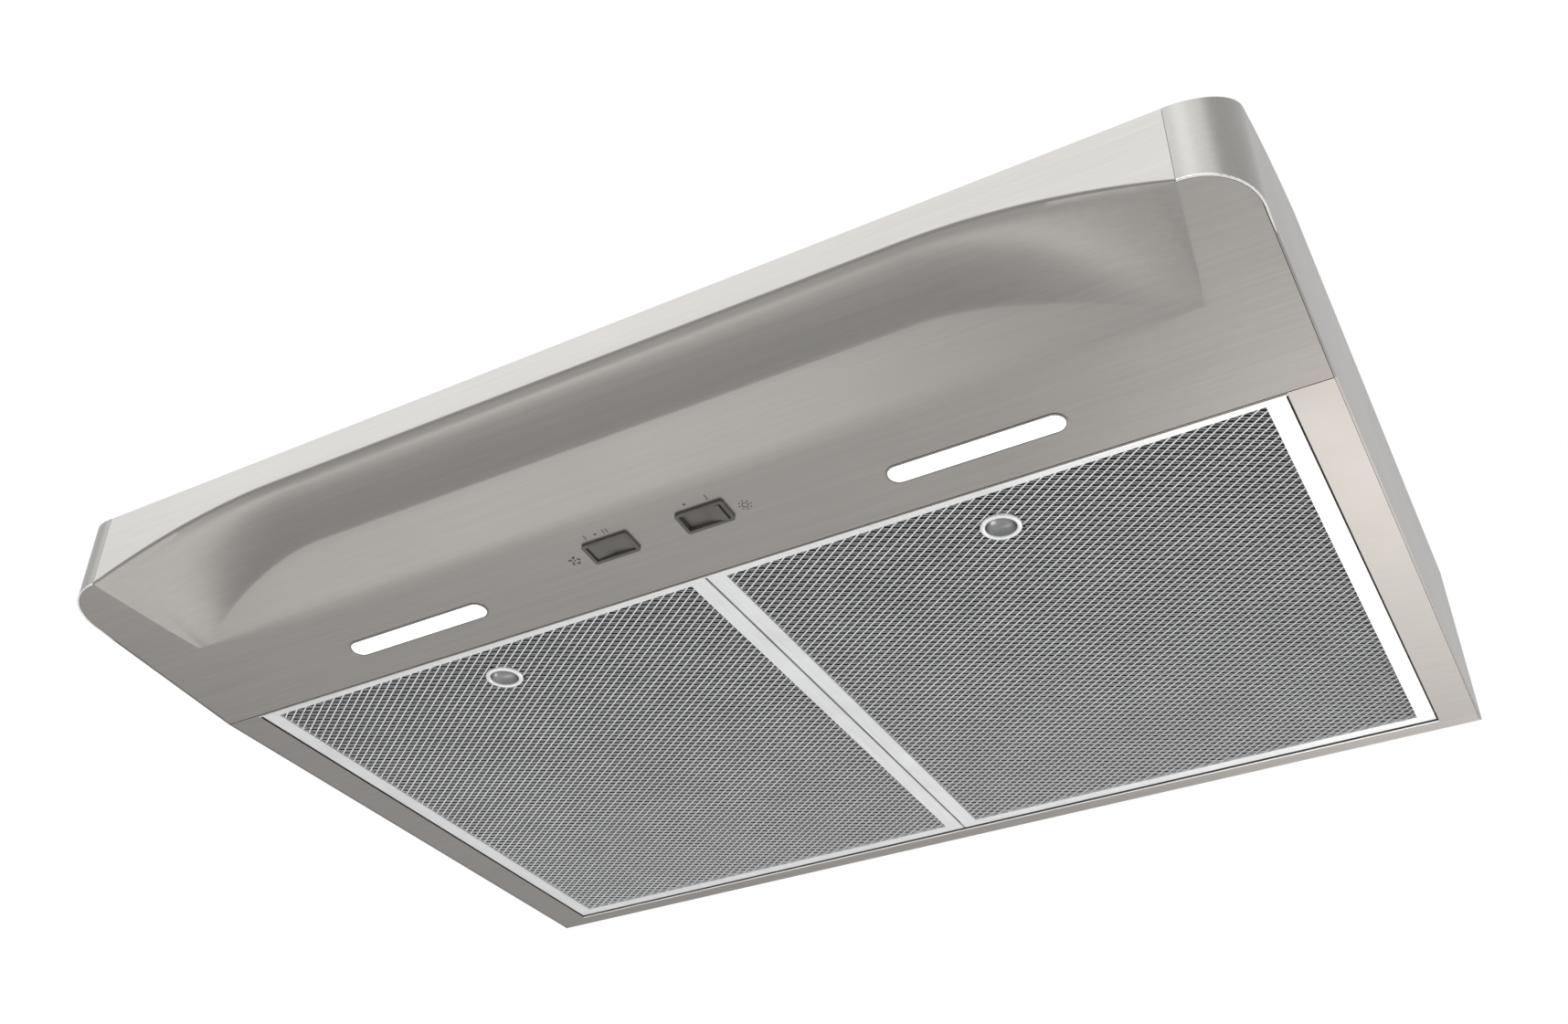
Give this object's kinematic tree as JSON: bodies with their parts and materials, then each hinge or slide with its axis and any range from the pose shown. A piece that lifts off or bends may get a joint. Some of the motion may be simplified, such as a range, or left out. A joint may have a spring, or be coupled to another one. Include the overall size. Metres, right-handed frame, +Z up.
{
  "type": "under cabinet range hood",
  "caption": "Wall-side hood that hangs under a cabinet over a cooker, with lift-down mesh filters, lamps, rocker switches and a blower.",
  "frame": {"origin": "on the top face that meets the cabinet, on the centre line and 200 mm in front of the wall plane", "axes": "+X to the right as seen by a person facing the hood, +Y back to the wall, +Z up"},
  "size_m": [0.759, 0.565, 0.15],
  "materials": {
    "brushed": "brushed stainless steel, grain along the hood",
    "galvanised": "galvanised sheet",
    "filter_rail": "satin aluminium rail",
    "filter_mesh": "expanded aluminium mesh layers",
    "cup_steel": "polished pressed cup",
    "lens": "frosted diffuser, lit",
    "switch_plastic": "dark grey moulded switch",
    "spring_steel": "spring steel",
    "pin_steel": "turned steel pin",
    "board": "white light board",
    "wheel_steel": "pressed blower wheel",
    "motor_black": "black painted motor",
    "rubber": "mounting rubber",
    "block_plastic": "moulded terminal block",
    "capacitor_can": "drawn can"
  },
  "bodies": {
    "hood": {"canopy": "brushed", "back_panel": "brushed", "side_panel_left": "brushed", "side_panel_right": "brushed", "control_fascia": "brushed", "bottom_pan": "brushed", "lamp_lens_left": "lens", "lamp_housing_left": "galvanised", "lamp_board_left": "board", "lamp_lens_right": "lens", "lamp_housing_right": "galvanised", "lamp_board_right": "board", "filter_hanger": "spring_steel", "filter_catches": "spring_steel", "filter_pivot_pins": "pin_steel", "fan_switch_body": "switch_plastic", "light_switch_body": "switch_plastic", "fan_rocker_pin": "pin_steel", "light_rocker_pin": "pin_steel", "blower_housing": "galvanised", "blower_motor": "motor_black", "motor_bracket": "galvanised", "motor_grommets": "rubber", "motor_screws": "pin_steel", "duct_collar": "galvanised", "damper_pin": "pin_steel", "wiring_cover": "galvanised", "wiring_screws": "pin_steel", "terminal_block": "block_plastic", "capacitor": "capacitor_can", "lamp_driver": "block_plastic"},
    "filter_left": {"filter_frame_left": "filter_rail", "filter_mesh_left": "filter_mesh", "filter_cup_left": "cup_steel"},
    "filter_right": {"filter_frame_right": "filter_rail", "filter_mesh_right": "filter_mesh", "filter_cup_right": "cup_steel"},
    "fan_rocker": {"fan_rocker": "switch_plastic"},
    "light_rocker": {"light_rocker": "switch_plastic"},
    "blower_wheel": {"blower_wheel": "wheel_steel", "motor_shaft": "pin_steel"},
    "damper_flap": {"damper_flap": "galvanised"}
  },
  "joints": [
    {"name": "filter_left_tilt", "type": "hinge", "parent": "hood", "child": "filter_left", "pos_m": [-0.1765, 0.179, -0.1176], "axis": [1, 0, 0], "range_deg": [0, 80]},
    {"name": "filter_right_tilt", "type": "hinge", "parent": "hood", "child": "filter_right", "pos_m": [0.1765, 0.179, -0.1176], "axis": [1, 0, 0], "range_deg": [0, 80]},
    {"name": "fan_rocker_tilt", "type": "hinge", "parent": "hood", "child": "fan_rocker", "pos_m": [-0.035, -0.25468, -0.11394], "axis": [0, -0.9963, 0.0863], "range_deg": [-8, 8]},
    {"name": "light_rocker_tilt", "type": "hinge", "parent": "hood", "child": "light_rocker", "pos_m": [0.0295, -0.25468, -0.11394], "axis": [0, -0.9963, 0.0863], "range_deg": [-16, 0]},
    {"name": "blower_spin", "type": "hinge", "parent": "hood", "child": "blower_wheel", "pos_m": [0, -0.02, -0.05], "axis": [0, 0, 1], "continuous": true},
    {"name": "damper_swing", "type": "hinge", "parent": "hood", "child": "damper_flap", "pos_m": [0, 0.1135, 0.012], "axis": [1, 0, 0], "range_deg": [0, 75]}
  ]
}
